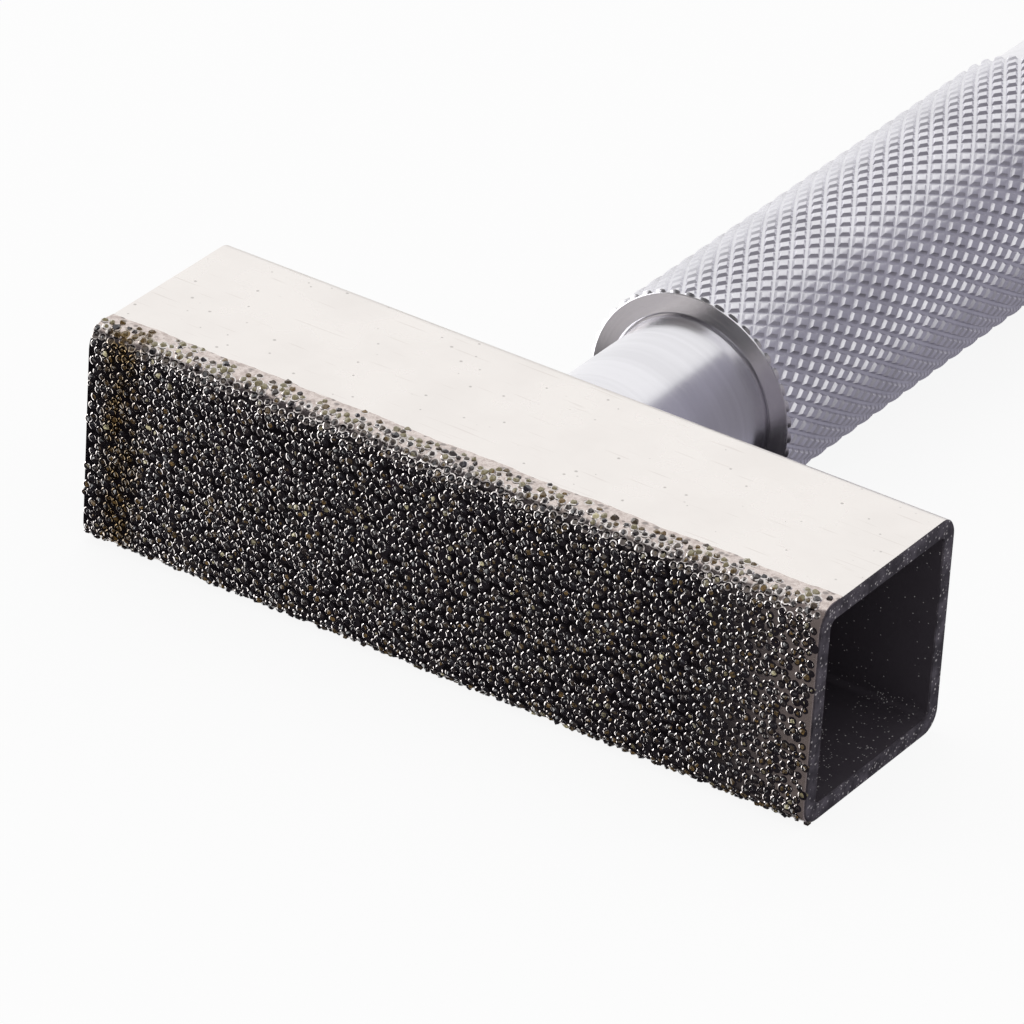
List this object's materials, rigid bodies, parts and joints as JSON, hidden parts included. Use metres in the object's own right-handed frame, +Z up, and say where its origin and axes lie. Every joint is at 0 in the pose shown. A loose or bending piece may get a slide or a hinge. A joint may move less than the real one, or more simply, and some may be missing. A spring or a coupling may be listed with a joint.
{
  "type": "diamond wheel dresser",
  "caption": "T-shaped hand dresser for grinding wheels: square nickel-plated tube with a diamond-grit front face on a knurled aluminium handle.",
  "frame": {"origin": "middle of the tube's bottom face, which lies on the grinder's tool rest", "axes": "+X along the tube, +Y along the handle away from the diamond face, +Z up"},
  "size_m": [0.045, 0.1206, 0.0127],
  "materials": {
    "nickel_plate": "satin nickel plating on drawn steel tube",
    "diamond_grit": "dark diamond grit in plated nickel",
    "turned_aluminium": "turned and knurled, bright satin",
    "zinc_steel": "zinc plated",
    "spring_steel": "phosphated spring steel"
  },
  "bodies": {
    "root": {"head_tube": "nickel_plate", "diamond_layer": "diamond_grit", "handle": "turned_aluminium", "square_nut": "zinc_steel", "spring_washer": "spring_steel"}
  },
  "joints": []
}
